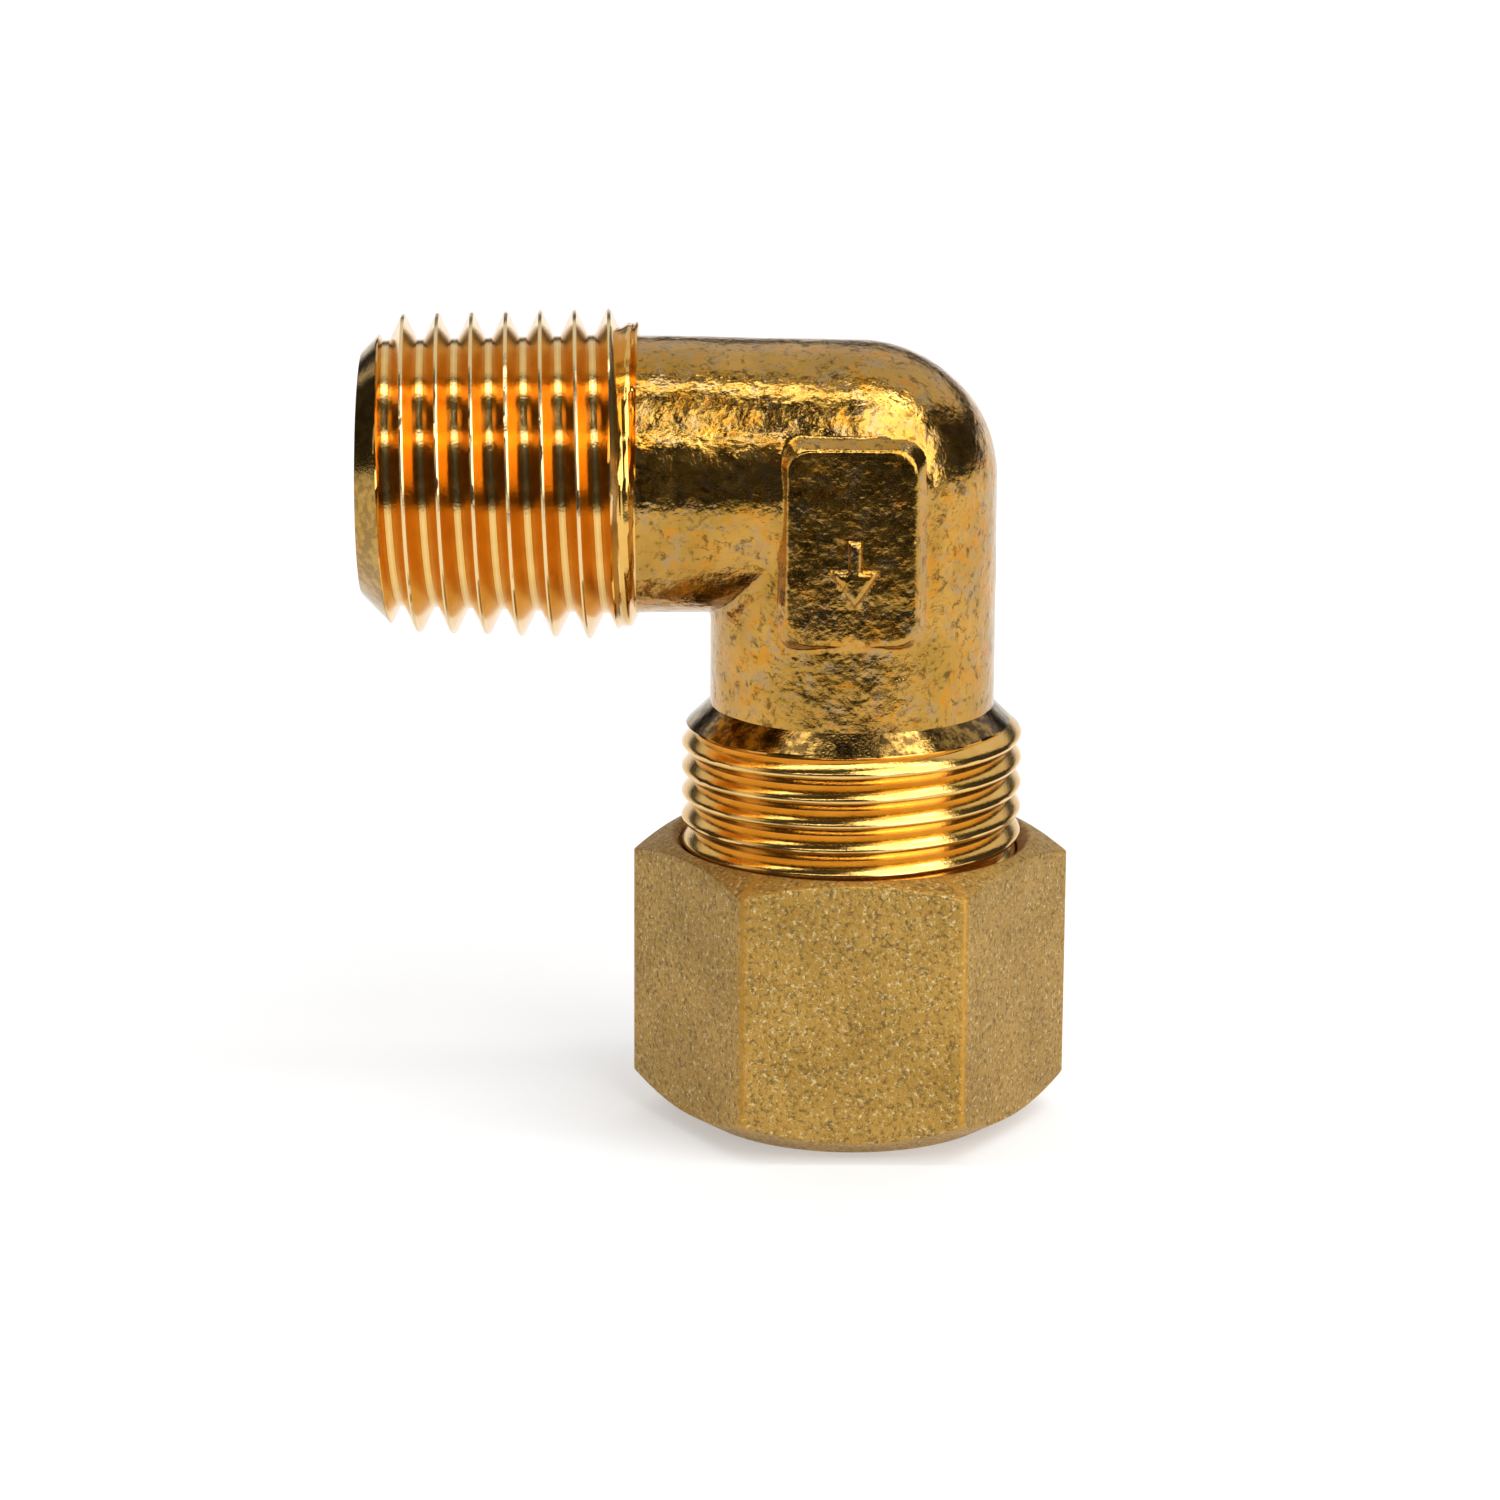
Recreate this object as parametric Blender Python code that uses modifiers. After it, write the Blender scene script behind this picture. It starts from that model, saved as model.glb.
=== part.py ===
"""Brass 90 degree compression fitting: 3/8 inch tube to 1/4 inch male taper pipe thread.

Three pieces, as it comes apart on a bench: the forged and machined elbow body, the hexagon
compression nut, and the loose compression sleeve that the nut squeezes onto the tube.
The fitting stands on its nut. +Z is up the tube axis, and the male arm points along -X.
The origin is on the floor, below the middle of the fitting's box.
"""

import math

import bmesh
import bpy
from mathutils import Matrix

INCH = 0.0254
MM = 0.001
SEGMENTS = 36  # sides of every round surface, and steps in each turn of a thread
HALF_STEP = math.pi / SEGMENTS  # turns a blank so that its edges miss the thread's
MERGE = 1e-6

# Standard sizes that everything else hangs on
TUBE_DIAMETER = 3 / 8 * INCH
HEX_ACROSS_FLATS = 5 / 8 * INCH
NUT_THREAD_MAJOR = 9 / 16 * INCH
NUT_THREAD_PITCH = INCH / 24
PIPE_THREAD_PITCH = INCH / 18
PIPE_THREAD_MAJOR = 0.540 * INCH  # at the end of the full thread
PIPE_THREAD_LENGTH = 0.4018 * INCH  # from the small end to there
PIPE_TAPER = 1 / 32  # radius lost for each unit of length
FLANK_SLOPE = math.tan(math.radians(30))

# Elbow
ARM_REACH = 20.34 * MM  # tube axis to the male end's face
ARM_HEIGHT = 27.385 * MM  # floor to the arm's axis
LEG_RADIUS = 5.93 * MM
ARM_RADIUS_AT_COLLAR = 5.75 * MM
ARM_RADIUS_AT_CORNER = 5.60 * MM
CORNER_HEIGHT = 5.62 * MM  # the dome over the tube axis, above the arm's axis
WATERWAY_RADIUS = 5 / 32 * INCH
ARM_BORE_RADIUS = 3.85 * MM
DRILL_POINT_SLOPE = math.tan(math.radians(31))

# Compression end of the elbow
BODY_END = 9.05 * MM  # height of the face that the sleeve enters
SHOULDER_TOP = 17.80 * MM
BLANK_ALLOWANCE = 0.20 * MM  # a blank stands this far outside the thread's crests
THREAD_CREST = NUT_THREAD_MAJOR / 2 - 0.016 * MM
THREAD_DEPTH = 0.53 * MM
THREAD_CREST_FLAT = 0.20 * MM
THREAD_CREST_HEIGHT = 14.46 * MM  # a crest passes this height on the +X side
SOCKET_RADIUS = TUBE_DIAMETER / 2 + 0.04 * MM
SOCKET_STOP = 15.65 * MM
SEAT_MOUTH_RADIUS = 5.95 * MM
SEAT_SLOPE = math.tan(math.radians(30))

# Male end of the elbow
PIPE_DEPTH = 1.08 * MM
PIPE_CREST_FLAT = 0.10 * MM
PIPE_CREST_REACH = 10.16 * MM  # a crest passes the top of the arm this far out
PIPE_END_RADIUS = 5.06 * MM
PIPE_THREAD_END = 10.05 * MM
RUNOUT_ROOT = 5.95 * MM
COLLAR_RADIUS = 6.30 * MM
COLLAR_REACH = (9.15 * MM, 9.42 * MM)

# Marking pads on the elbow's two sides
PAD_FACE = 6.05 * MM
PAD_DEPTH = 1.10 * MM
PAD_BASE = ((-3.15 * MM, 2.85 * MM), (21.00 * MM, 29.90 * MM))
PAD_TOP = ((-2.60 * MM, 2.10 * MM), (21.75 * MM, 29.30 * MM))
PAD_CORNER = 1.0 * MM
MARK_HEIGHT = 0.20 * MM
MARK_CENTRE = (-0.05 * MM, 24.45 * MM)
ARROW_HEIGHT = 2.60 * MM
ARROW_HEAD = 0.95 * MM
ARROW_SHAFT = 0.24 * MM
ARROW_BARB = 0.10 * MM  # height of the head's back edge above the arrow's middle

# Nut
NUT_HEIGHT = 12.02 * MM
NUT_BORE_RADIUS = 6.77 * MM
NUT_BORE_BOTTOM = 3.90 * MM
NUT_SEAT_BOTTOM = 2.30 * MM
NUT_HOLE_RADIUS = TUBE_DIAMETER / 2 + 0.10 * MM
NUT_THREAD_BOTTOM = 6.30 * MM
NUT_GROOVE_CLEARANCE = 0.095 * MM
NUT_GROOVE_FLAT = 0.23 * MM
TAP_OVERLAP = 0.16 * MM  # the tap's roots stand this far inside the bore's wall
NUT_BASE_RADIUS = 6.37 * MM
NUT_BASE_SLOPE = math.tan(math.radians(30))
NUT_TOP_RADIUS = 7.62 * MM
NUT_TOP_SLOPE = math.tan(math.radians(25.3))
NUT_MOUTH_RADIUS = 7.50 * MM

# Sleeve
SLEEVE_BOTTOM = 2.75 * MM
SLEEVE_LENGTH = 1 / 4 * INCH
SLEEVE_BORE_RADIUS = TUBE_DIAMETER / 2 + 0.05 * MM
SLEEVE_RADIUS = 5.70 * MM
SLEEVE_NOSE_RADIUS = 5.05 * MM
SLEEVE_NOSE_LENGTH = 1.15 * MM

HEX_CORNER_RADIUS = HEX_ACROSS_FLATS / math.sqrt(3)
TUBE_AXIS_X = (ARM_REACH - HEX_CORNER_RADIUS) / 2  # puts the origin below the box's middle


def collection(name):
    made = bpy.data.collections.new(name)
    bpy.context.scene.collection.children.link(made)
    return made


def clear_scene():
    for obj in list(bpy.data.objects):
        bpy.data.objects.remove(obj)


def brass(name, colour, roughness):
    made = bpy.data.materials.new(name)
    made.use_nodes = True
    shader = made.node_tree.nodes["Principled BSDF"]
    shader.inputs["Base Color"].default_value = (*colour, 1.0)
    shader.inputs["Roughness"].default_value = roughness
    shader.inputs["Metallic"].default_value = 1.0
    return made


def add_object(name, mesh, into):
    made = bpy.data.objects.new(name, mesh)
    into.objects.link(made)
    return made


def outline_mesh(name, points, closed):
    """A chain of edges through (radius, height) points in the XZ plane."""
    count = len(points)
    edges = [(i, (i + 1) % count) for i in range(count if closed else count - 1)]
    mesh = bpy.data.meshes.new(name)
    mesh.from_pydata([(radius, 0.0, height) for radius, height in points], edges, [])
    return mesh


def add_screw(obj, pitch=0.0, turns=1):
    screw = obj.modifiers.new("turn", "SCREW")
    screw.axis = "Z"
    screw.angle = 2 * math.pi
    screw.screw_offset = pitch
    screw.iterations = turns
    screw.steps = SEGMENTS
    screw.render_steps = SEGMENTS
    screw.use_merge_vertices = True
    screw.merge_threshold = MERGE


def applied(obj):
    """The object as a plain mesh, with its modifiers carried out."""
    bpy.context.view_layer.update()
    graph = bpy.context.evaluated_depsgraph_get()
    mesh = bpy.data.meshes.new_from_object(obj.evaluated_get(graph))
    obj.modifiers.clear()
    obj.data = mesh
    return obj


def turned(name, profile, into, closed=False):
    """A turned solid about local Z. The profile runs down its outer side, top to bottom."""
    made = add_object(name, outline_mesh(name, profile, closed), into)
    add_screw(made)
    return made


def thread_rod(name, into, pitch, crest, depth, crest_flat, crest_at, low, high, taper=0.0):
    """A rod with a right-hand thread that covers local heights low to high.

    A crest crosses the +X side at crest_at. With a taper, crest is the radius there, and the rod
    gets thinner above it. The profile is one pitch long, from root to root over the crest.
    """
    flank = depth * FLANK_SLOPE
    root = crest - depth
    root_flat = pitch - crest_flat - 2 * flank
    profile = [
        (root, pitch / 2),
        (root, pitch / 2 - root_flat / 2),
        (crest, crest_flat / 2),
        (crest, -crest_flat / 2),
        (root, root_flat / 2 - pitch / 2),
        (root, -pitch / 2),
    ]
    turns_below = math.ceil((crest_at - low) / pitch) + 1
    turns = turns_below + math.ceil((high - crest_at) / pitch) + 1
    start = crest_at - turns_below * pitch
    made = add_object(name, outline_mesh(name, profile, False), into)
    add_screw(made, pitch, turns)
    join_turns(applied(made).data)
    for vertex in made.data.vertices:
        vertex.co.z += start
        if taper:
            radius = math.hypot(vertex.co.x, vertex.co.y)
            share = 1 - taper * (vertex.co.z - crest_at) / radius
            vertex.co.x *= share
            vertex.co.y *= share
    close_ends(made.data)
    return made


def join_turns(mesh):
    """Merges each turn's edge with the next turn's, which lies exactly on it."""
    work = bmesh.new()
    work.from_mesh(mesh)
    bmesh.ops.remove_doubles(work, verts=work.verts, dist=MERGE)
    work.to_mesh(mesh)
    work.free()


def close_ends(mesh):
    """Closes a rod's two open ends with fans of faces that meet on its axis."""
    work = bmesh.new()
    work.from_mesh(mesh)
    middle = sum(vertex.co.z for vertex in work.verts) / len(work.verts)
    for above in (True, False):
        edges = [
            edge for edge in work.edges
            if edge.is_boundary and (edge.verts[0].co.z > middle) == above
        ]
        height = sum(edge.verts[0].co.z for edge in edges) / len(edges)
        centre = work.verts.new((0.0, 0.0, height))
        for edge in edges:
            work.faces.new((edge.verts[0], edge.verts[1], centre))
    bmesh.ops.recalc_face_normals(work, faces=work.faces)
    work.to_mesh(mesh)
    work.free()


def add_boolean(target, tool, operation):
    modifier = target.modifiers.new(operation.lower(), "BOOLEAN")
    modifier.operation = operation
    modifier.object = tool


def hide_tools(tools):
    for tool in tools.objects:
        tool.hide_render = True
        tool.display_type = "WIRE"


def point_along_arm(obj):
    """Turns local +Z to -X, with local +X up, at the arm's height on the tube axis."""
    obj.rotation_euler = (0.0, -math.pi / 2, 0.0)
    obj.location = (TUBE_AXIS_X, 0.0, ARM_HEIGHT)


def stand_on_tube_axis(obj):
    obj.location.x = TUBE_AXIS_X


def compression_thread(tools):
    """The threaded end that the nut runs on, with a lead-in chamfer and a conical shoulder."""
    chamfer = 0.85 * MM
    inside = 0.5 * MM
    blank_radius = THREAD_CREST + BLANK_ALLOWANCE
    blank = turned(
        "compression_thread",
        [
            (0.0, SHOULDER_TOP + inside),
            (LEG_RADIUS - inside, SHOULDER_TOP + inside),
            (blank_radius, SHOULDER_TOP - (blank_radius - LEG_RADIUS)),
            (blank_radius, BODY_END + chamfer + BLANK_ALLOWANCE),
            (THREAD_CREST - chamfer, BODY_END),
            (0.0, BODY_END),
        ],
        tools,
    )
    blank.rotation_euler.z = HALF_STEP
    rod = thread_rod(
        "compression_rod", tools, NUT_THREAD_PITCH, THREAD_CREST, THREAD_DEPTH,
        THREAD_CREST_FLAT, THREAD_CREST_HEIGHT, BODY_END - MM, SHOULDER_TOP + MM,
    )
    for obj in (blank, rod):
        stand_on_tube_axis(obj)
    add_boolean(blank, rod, "INTERSECT")
    return blank


def pipe_crest_radius(reach):
    full = ARM_REACH - PIPE_THREAD_LENGTH
    return PIPE_THREAD_MAJOR / 2 - PIPE_TAPER * (reach - full)


def pipe_thread(tools):
    """The male taper thread, with a chamfer at each end."""
    chamfer_reach = ARM_REACH - (pipe_crest_radius(ARM_REACH) - PIPE_END_RADIUS)
    blank = turned(
        "pipe_thread",
        [
            (0.0, ARM_REACH),
            (PIPE_END_RADIUS, ARM_REACH),
            (
                pipe_crest_radius(chamfer_reach) + BLANK_ALLOWANCE,
                chamfer_reach - BLANK_ALLOWANCE,
            ),
            (pipe_crest_radius(PIPE_THREAD_END) + BLANK_ALLOWANCE, PIPE_THREAD_END),
            (COLLAR_RADIUS, COLLAR_REACH[1] + 0.2 * MM),
            (0.0, COLLAR_REACH[1] + 0.2 * MM),
        ],
        tools,
    )
    rod = thread_rod(
        "pipe_rod", tools, PIPE_THREAD_PITCH, pipe_crest_radius(PIPE_CREST_REACH),
        PIPE_DEPTH, PIPE_CREST_FLAT, PIPE_CREST_REACH,
        COLLAR_REACH[0] - MM, ARM_REACH + MM, PIPE_TAPER,
    )
    for obj in (blank, rod):
        point_along_arm(obj)
    blank.rotation_euler = (Matrix.Rotation(-math.pi / 2, 3, "Y")
                            @ Matrix.Rotation(HALF_STEP, 3, "Z")).to_euler()
    add_boolean(blank, rod, "INTERSECT")
    return blank


def arm(tools):
    """The forged arm, with the collar where the pipe thread runs out and a core inside it."""
    core = 4.9 * MM
    fillet = 0.30 * MM
    made = turned(
        "arm",
        [
            (0.0, PIPE_THREAD_END + 2 * MM),
            (core, PIPE_THREAD_END + 2 * MM),
            (core, PIPE_THREAD_END + 0.3 * MM),
            (RUNOUT_ROOT, PIPE_THREAD_END - 0.15 * MM),
            (COLLAR_RADIUS, COLLAR_REACH[1]),
            (COLLAR_RADIUS, COLLAR_REACH[0]),
            (ARM_RADIUS_AT_COLLAR + fillet, COLLAR_REACH[0] - fillet / 2),
            (ARM_RADIUS_AT_COLLAR, COLLAR_REACH[0] - fillet / 2 - fillet),
            (ARM_RADIUS_AT_CORNER, 0.0),
            (0.0, 0.0),
        ],
        tools,
    )
    point_along_arm(made)
    return made


def tapered_pad(name, side, tools):
    """A flat marking pad with sloping sides, on the -Y side for side -1 or +Y for side 1."""
    work = bmesh.new()
    bmesh.ops.create_cube(work, size=1.0)
    for vertex in work.verts:
        spans = PAD_TOP if vertex.co.y * side > 0 else PAD_BASE
        face = PAD_FACE if vertex.co.y * side > 0 else PAD_FACE - PAD_DEPTH
        vertex.co.x = spans[0][vertex.co.x > 0]
        vertex.co.z = spans[1][vertex.co.z > 0]
        vertex.co.y = side * face
    slanted = [
        edge for edge in work.edges
        if abs(edge.verts[0].co.y - edge.verts[1].co.y) > PAD_DEPTH / 2
    ]
    bmesh.ops.bevel(work, geom=slanted, offset=PAD_CORNER, segments=4, profile=0.5, affect="EDGES")
    mesh = bpy.data.meshes.new(name)
    work.to_mesh(mesh)
    work.free()
    made = add_object(name, mesh, tools)
    stand_on_tube_axis(made)
    return made


def raised_arrow(tools):
    """A plain arrow that stands out of the front pad and points to the tube."""
    outline = [
        (-ARROW_SHAFT, ARROW_HEIGHT / 2),
        (-ARROW_SHAFT, ARROW_BARB),
        (-ARROW_HEAD, ARROW_BARB),
        (0.0, -ARROW_HEIGHT / 2),
        (ARROW_HEAD, ARROW_BARB),
        (ARROW_SHAFT, ARROW_BARB),
        (ARROW_SHAFT, ARROW_HEIGHT / 2),
    ]
    count = len(outline)
    points = [
        (MARK_CENTRE[0] + x, depth, MARK_CENTRE[1] + z)
        for depth in (-PAD_FACE - MARK_HEIGHT, -PAD_FACE + PAD_DEPTH / 2)
        for x, z in outline
    ]
    sides = [(i, (i + 1) % count, (i + 1) % count + count, i + count) for i in range(count)]
    ends = [tuple(range(count)), tuple(range(count, 2 * count))]
    mesh = bpy.data.meshes.new("raised_arrow")
    mesh.from_pydata(points, [], sides + ends)
    work = bmesh.new()
    work.from_mesh(mesh)
    bmesh.ops.recalc_face_normals(work, faces=work.faces)
    work.to_mesh(mesh)
    work.free()
    made = add_object("raised_arrow", mesh, tools)
    stand_on_tube_axis(made)
    return made


def tube_bore(tools):
    """The cutter for the sleeve's seat, the tube's socket and its stop, and the waterway."""
    below = BODY_END - MM
    mouth = SEAT_MOUTH_RADIUS + (BODY_END - below) * SEAT_SLOPE
    seat_top = BODY_END + (SEAT_MOUTH_RADIUS - SOCKET_RADIUS) / SEAT_SLOPE
    bore_top = ARM_HEIGHT + 0.80 * MM
    made = turned(
        "tube_bore",
        [
            (0.0, bore_top + WATERWAY_RADIUS * DRILL_POINT_SLOPE),
            (WATERWAY_RADIUS, bore_top),
            (WATERWAY_RADIUS, SOCKET_STOP),
            (SOCKET_RADIUS, SOCKET_STOP),
            (SOCKET_RADIUS, seat_top),
            (mouth, below),
            (0.0, below),
        ],
        tools,
    )
    stand_on_tube_axis(made)
    return made


def arm_bore(tools):
    """The cutter for the waterway in the arm, open and chamfered at the male end."""
    chamfer = 0.50 * MM
    inner = -0.80 * MM
    outside = ARM_REACH + MM
    made = turned(
        "arm_bore",
        [
            (0.0, outside),
            (ARM_BORE_RADIUS + chamfer + MM, outside),
            (ARM_BORE_RADIUS, ARM_REACH - chamfer),
            (ARM_BORE_RADIUS, inner),
            (0.0, inner - ARM_BORE_RADIUS * DRILL_POINT_SLOPE),
        ],
        tools,
    )
    point_along_arm(made)
    return made


def elbow_body(parts, tools, material):
    """The forged leg and corner, joined to the arm and both threads, then bored through."""
    dome_steps = 9
    dome = [
        (
            LEG_RADIUS * math.sin(math.pi / 2 * i / dome_steps),
            ARM_HEIGHT + CORNER_HEIGHT * math.cos(math.pi / 2 * i / dome_steps),
        )
        for i in range(dome_steps)
    ]
    leg = [(LEG_RADIUS, ARM_HEIGHT), (LEG_RADIUS, SHOULDER_TOP - 2 * MM), (0.0, SHOULDER_TOP - 2 * MM)]
    body = turned("elbow_body", dome + leg, parts)
    stand_on_tube_axis(body)
    for added in (
        compression_thread(tools),
        arm(tools),
        pipe_thread(tools),
        tapered_pad("front_pad", -1, tools),
        tapered_pad("back_pad", 1, tools),
        raised_arrow(tools),
    ):
        add_boolean(body, added, "UNION")
    add_boolean(body, tube_bore(tools), "DIFFERENCE")
    add_boolean(body, arm_bore(tools), "DIFFERENCE")
    body.data.materials.append(material)
    return body


def nut_envelope(tools):
    """The turned shape that chamfers the hexagon's corners at both ends."""
    beyond = HEX_CORNER_RADIUS + MM
    made = turned(
        "nut_envelope",
        [
            (0.0, NUT_HEIGHT),
            (NUT_TOP_RADIUS, NUT_HEIGHT),
            (beyond, NUT_HEIGHT - (beyond - NUT_TOP_RADIUS) * NUT_TOP_SLOPE),
            (beyond, (beyond - NUT_BASE_RADIUS) * NUT_BASE_SLOPE),
            (NUT_BASE_RADIUS, 0.0),
            (0.0, 0.0),
        ],
        tools,
    )
    stand_on_tube_axis(made)
    return made


def nut_bore(tools):
    """The cutter for the tube's hole, the sleeve's seat, the tapping bore and the mouth."""
    inner = THREAD_CREST + NUT_GROOVE_CLEARANCE + BLANK_ALLOWANCE / 2
    mouth_depth = NUT_MOUTH_RADIUS - inner
    made = turned(
        "nut_bore",
        [
            (0.0, NUT_HEIGHT + MM),
            (NUT_MOUTH_RADIUS + MM, NUT_HEIGHT + MM),
            (inner, NUT_HEIGHT - mouth_depth),
            (NUT_BORE_RADIUS, NUT_HEIGHT - mouth_depth - (inner - NUT_BORE_RADIUS)),
            (NUT_BORE_RADIUS, NUT_BORE_BOTTOM),
            (NUT_HOLE_RADIUS, NUT_SEAT_BOTTOM),
            (NUT_HOLE_RADIUS, -MM),
            (0.0, -MM),
        ],
        tools,
    )
    made.rotation_euler.z = HALF_STEP
    stand_on_tube_axis(made)
    return made


def compression_nut(parts, tools, material):
    """A hexagon with its corners on the X axis, chamfered, bored and tapped."""
    work = bmesh.new()
    bmesh.ops.create_cone(
        work, cap_ends=True, segments=6, radius1=HEX_CORNER_RADIUS, radius2=HEX_CORNER_RADIUS,
        depth=NUT_HEIGHT + 2 * MM,
    )
    bmesh.ops.rotate(work, verts=work.verts, matrix=corner_on_x(work))
    bmesh.ops.translate(work, verts=work.verts, vec=(0.0, 0.0, NUT_HEIGHT / 2))
    mesh = bpy.data.meshes.new("compression_nut")
    work.to_mesh(mesh)
    work.free()
    nut = add_object("compression_nut", mesh, parts)
    stand_on_tube_axis(nut)
    tap = thread_rod(
        "nut_tap", tools, NUT_THREAD_PITCH, THREAD_CREST + NUT_GROOVE_CLEARANCE,
        THREAD_CREST + NUT_GROOVE_CLEARANCE - NUT_BORE_RADIUS + TAP_OVERLAP, NUT_GROOVE_FLAT,
        THREAD_CREST_HEIGHT - 2 * NUT_THREAD_PITCH, NUT_THREAD_BOTTOM + NUT_THREAD_PITCH,
        NUT_HEIGHT + 0.5 * MM,
    )
    stand_on_tube_axis(tap)
    add_boolean(nut, nut_envelope(tools), "INTERSECT")
    add_boolean(nut, nut_bore(tools), "DIFFERENCE")
    add_boolean(nut, tap, "DIFFERENCE")
    nut.data.materials.append(material)
    return nut


def corner_on_x(work):
    """The turn about Z that brings the hexagon's first corner onto the X axis."""
    corner = next(iter(work.verts)).co
    return Matrix.Rotation(-math.atan2(corner.y, corner.x), 3, "Z")


def compression_sleeve(parts, material):
    """The loose ring between nut and elbow, with a tapered nose at each end."""
    top = SLEEVE_BOTTOM + SLEEVE_LENGTH
    sleeve = turned(
        "compression_sleeve",
        [
            (SLEEVE_NOSE_RADIUS, top),
            (SLEEVE_RADIUS, top - SLEEVE_NOSE_LENGTH),
            (SLEEVE_RADIUS, SLEEVE_BOTTOM + SLEEVE_NOSE_LENGTH),
            (SLEEVE_NOSE_RADIUS, SLEEVE_BOTTOM),
            (SLEEVE_BORE_RADIUS, SLEEVE_BOTTOM),
            (SLEEVE_BORE_RADIUS, top),
        ],
        parts,
        closed=True,
    )
    stand_on_tube_axis(sleeve)
    sleeve.data.materials.append(material)
    return sleeve


def shade_round(obj):
    obj.data.shade_smooth()
    obj.data.set_sharp_from_angle(angle=math.radians(30))


def main():
    clear_scene()
    parts = collection("compression_fitting")
    tools = collection("tools")
    forged = brass("forged_brass", (0.72, 0.50, 0.17), 0.28)
    bar = brass("bar_brass", (0.56, 0.43, 0.19), 0.50)
    turned_brass = brass("turned_brass", (0.80, 0.58, 0.25), 0.22)
    elbow_body(parts, tools, forged)
    compression_nut(parts, tools, bar)
    compression_sleeve(parts, turned_brass)
    hide_tools(tools)
    for obj in parts.objects:
        shade_round(obj)


main()
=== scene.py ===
"""Looks for the brass compression fitting: finer meshes, brass materials, a pale floor and soft light.

Every length is in metres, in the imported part's own frame. The visible pieces are built here at a
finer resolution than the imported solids, and each one stands for its solid or rides on its body.
"""

import math

import bmesh
import bpy
import numpy as np
from mathutils import Matrix, Vector, noise

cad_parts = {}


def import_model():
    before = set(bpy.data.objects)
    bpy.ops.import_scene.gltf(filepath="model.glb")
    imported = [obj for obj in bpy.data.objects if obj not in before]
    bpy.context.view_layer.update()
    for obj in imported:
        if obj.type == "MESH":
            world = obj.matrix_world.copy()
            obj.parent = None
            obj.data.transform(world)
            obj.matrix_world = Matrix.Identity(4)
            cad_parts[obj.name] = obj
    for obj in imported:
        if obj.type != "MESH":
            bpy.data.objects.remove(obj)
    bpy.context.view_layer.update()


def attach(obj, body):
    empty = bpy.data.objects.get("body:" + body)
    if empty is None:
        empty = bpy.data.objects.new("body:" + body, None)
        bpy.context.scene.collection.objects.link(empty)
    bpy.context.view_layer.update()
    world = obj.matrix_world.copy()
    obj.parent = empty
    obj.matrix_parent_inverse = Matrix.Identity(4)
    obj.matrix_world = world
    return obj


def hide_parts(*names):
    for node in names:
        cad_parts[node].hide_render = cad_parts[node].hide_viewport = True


MM = 0.001
INCH = 0.0254
STEPS = 180  # even columns round a turned or threaded surface
CORNER_COLUMNS = (-1.1, -0.7, -0.35, 0.35, 0.7, 1.1)  # more columns near a hexagon's corners, degrees
ROWS_PER_PITCH = 20
MERGE = 1e-6
FLANK_SLOPE = math.tan(math.radians(30))
SEAT_SLOPE = math.tan(math.radians(30))
DRILL_POINT_SLOPE = math.tan(math.radians(31))
SHARP_ANGLE = math.radians(32)  # edges sharper than this keep their corner when shaded

# The part's own sizes
TUBE_DIAMETER = 3 / 8 * INCH
ACROSS_FLATS = 5 / 8 * INCH
CORNER_RADIUS = ACROSS_FLATS / math.sqrt(3)
ARM_REACH = 20.34 * MM
FACE_REACH = ARM_REACH - 0.002 * MM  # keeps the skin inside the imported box
ARM_HEIGHT = 27.385 * MM
AXIS_X = (ARM_REACH - CORNER_RADIUS) / 2
LEG_RADIUS = 5.93 * MM
ARM_RADIUS_AT_COLLAR = 5.75 * MM
ARM_RADIUS_AT_CORNER = 5.60 * MM
DOME_HEIGHT = 5.62 * MM
DOME_STEPS = 24
CORNER_BLEND = 5.0 * MM  # the arm widens to the leg's width over this length
FORGING_OVERLAP = 0.6 * MM  # how far the leg goes on inside the shoulder
COLLAR_OVERLAP = 0.15 * MM  # and the arm inside the collar
VOXEL = 0.10 * MM
SMOOTHING = 7  # rounds of smoothing that soften the forging's corners
WAVES = ((0.022, 2.1 * MM), (0.012, 0.8 * MM))  # height in millimetres, and length, of each wave
WATERWAY_RADIUS = 5 / 32 * INCH
WATERWAY_TOP = ARM_HEIGHT + 0.8 * MM
ARM_BORE_RADIUS = 3.85 * MM
ARM_BORE_END = -0.8 * MM  # measured out along the arm from the tube's axis
DRILL_RUN = (12 * MM, 15 * MM)  # the arm's drill starts this far out, and the tube's this high

BODY_END = 9.05 * MM
SHOULDER_TOP = 17.80 * MM
SHOULDER_SLOPE = 1.05
LEAD_CHAMFER = 0.85 * MM
NUT_THREAD_PITCH = INCH / 24
NUT_THREAD_CREST = 9 / 32 * INCH - 0.016 * MM
NUT_THREAD_DEPTH = 0.53 * MM
NUT_THREAD_ROUNDING = 1.5  # power of the crest's curve: round crests and narrow roots
NUT_THREAD_AT = 14.46 * MM
SOCKET_RADIUS = TUBE_DIAMETER / 2 + 0.04 * MM
SOCKET_STOP = 15.65 * MM
SEAT_MOUTH_RADIUS = 5.95 * MM

PIPE_PITCH = INCH / 18
PIPE_MAJOR = 0.270 * INCH
PIPE_FULL = ARM_REACH - 0.4018 * INCH
PIPE_TAPER = 1 / 32
PIPE_DEPTH = 1.08 * MM
PIPE_FLAT = 0.10 * MM
PIPE_SLOPE = math.tan(math.radians(25.5))
PIPE_CREST_AT = 10.16 * MM
PIPE_END_RADIUS = 5.06 * MM
PIPE_THREAD_END = 10.05 * MM
RUNOUT_ROOT = 5.95 * MM
COLLAR_RADIUS = 6.30 * MM
COLLAR_REACH = (9.15 * MM, 9.42 * MM)

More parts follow.
